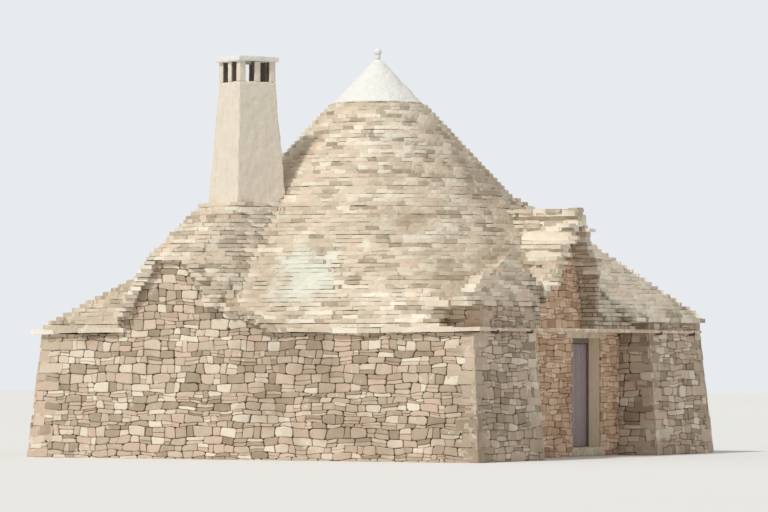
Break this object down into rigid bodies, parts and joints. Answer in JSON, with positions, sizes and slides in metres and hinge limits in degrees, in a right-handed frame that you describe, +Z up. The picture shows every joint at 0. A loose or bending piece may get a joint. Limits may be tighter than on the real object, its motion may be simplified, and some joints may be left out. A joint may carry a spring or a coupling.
{
  "type": "trullo house",
  "caption": "Dry-stone house with a square plan, a conical slab roof with a whitewashed cap, hipped corners, a tapered chimney and a planked door under a gable.",
  "frame": {"origin": "centre of the base, on the ground, under the point of the cone", "axes": "+Z up; the wall with the entrance faces +X; the wall with the alcove gable faces -Y"},
  "size_m": [8.66, 8.66, 7.0044],
  "materials": {
    "wall_rubble": "rough dry-laid rubble",
    "entrance_rubble": "rough dry-laid rubble, shaded and reddish",
    "dressed_stone": "hewn slabs",
    "eaves_slab": "split flat slabs",
    "roof_slabs": "split flat slabs in courses",
    "dome_stone": "corbelled courses",
    "floor_stone": "worn paving slabs",
    "limewash": "whitewashed",
    "chimney_plaster": "limewashed plaster",
    "door_wood": "weathered paint on planks",
    "frame_wood": "weathered paint",
    "hinge_iron": "rusted wrought iron",
    "pole_wood": "peeled and limewashed pole"
  },
  "bodies": {
    "house": {"floor": "floor_stone", "door_sill": "dressed_stone", "front_wall": "wall_rubble", "left_wall": "wall_rubble", "back_wall": "wall_rubble", "near_wing": "wall_rubble", "far_wing": "wall_rubble", "entrance_pier_near": "entrance_rubble", "entrance_pier_far": "entrance_rubble", "entrance_lintel": "dressed_stone", "eaves_front": "eaves_slab", "eaves_left": "eaves_slab", "eaves_back": "eaves_slab", "near_wing_top": "wall_rubble", "near_wing_eaves": "eaves_slab", "far_wing_top": "wall_rubble", "far_wing_eaves": "eaves_slab", "corner_slabs": "dressed_stone", "dome_lower": "dome_stone", "dome_middle": "dome_stone", "dome_upper": "dome_stone", "dome_top_slab": "dressed_stone", "cone_lower": "roof_slabs", "cone_middle": "roof_slabs", "cone_upper": "roof_slabs", "cone_cap": "limewash", "finial": "limewash", "front_left_roof": "roof_slabs", "back_left_roof": "roof_slabs", "far_corner_roof": "roof_slabs", "front_right_roof": "roof_slabs", "near_corner_roof": "roof_slabs", "front_gable": "wall_rubble", "alcove_roof": "roof_slabs", "entrance_gable": "entrance_rubble", "entrance_roof": "roof_slabs", "chimney_shaft": "chimney_plaster", "chimney_posts": "chimney_plaster", "chimney_slab": "eaves_slab", "door_frame": "frame_wood", "hinge_pins": "hinge_iron", "shade_pole": "pole_wood", "pole_brackets": "hinge_iron"},
    "near_leaf": {"door_leaf_near": "door_wood"},
    "far_leaf": {"door_leaf_far": "door_wood"}
  },
  "joints": [
    {"name": "near_leaf_hinge", "type": "hinge", "parent": "house", "child": "near_leaf", "pos_m": [3.2454, 0.338, 0], "axis": [0, 0, 1], "range_deg": [0, 90]},
    {"name": "far_leaf_hinge", "type": "hinge", "parent": "house", "child": "far_leaf", "pos_m": [3.2454, 1.422, 0], "axis": [0, 0, -1], "range_deg": [0, 90]}
  ]
}
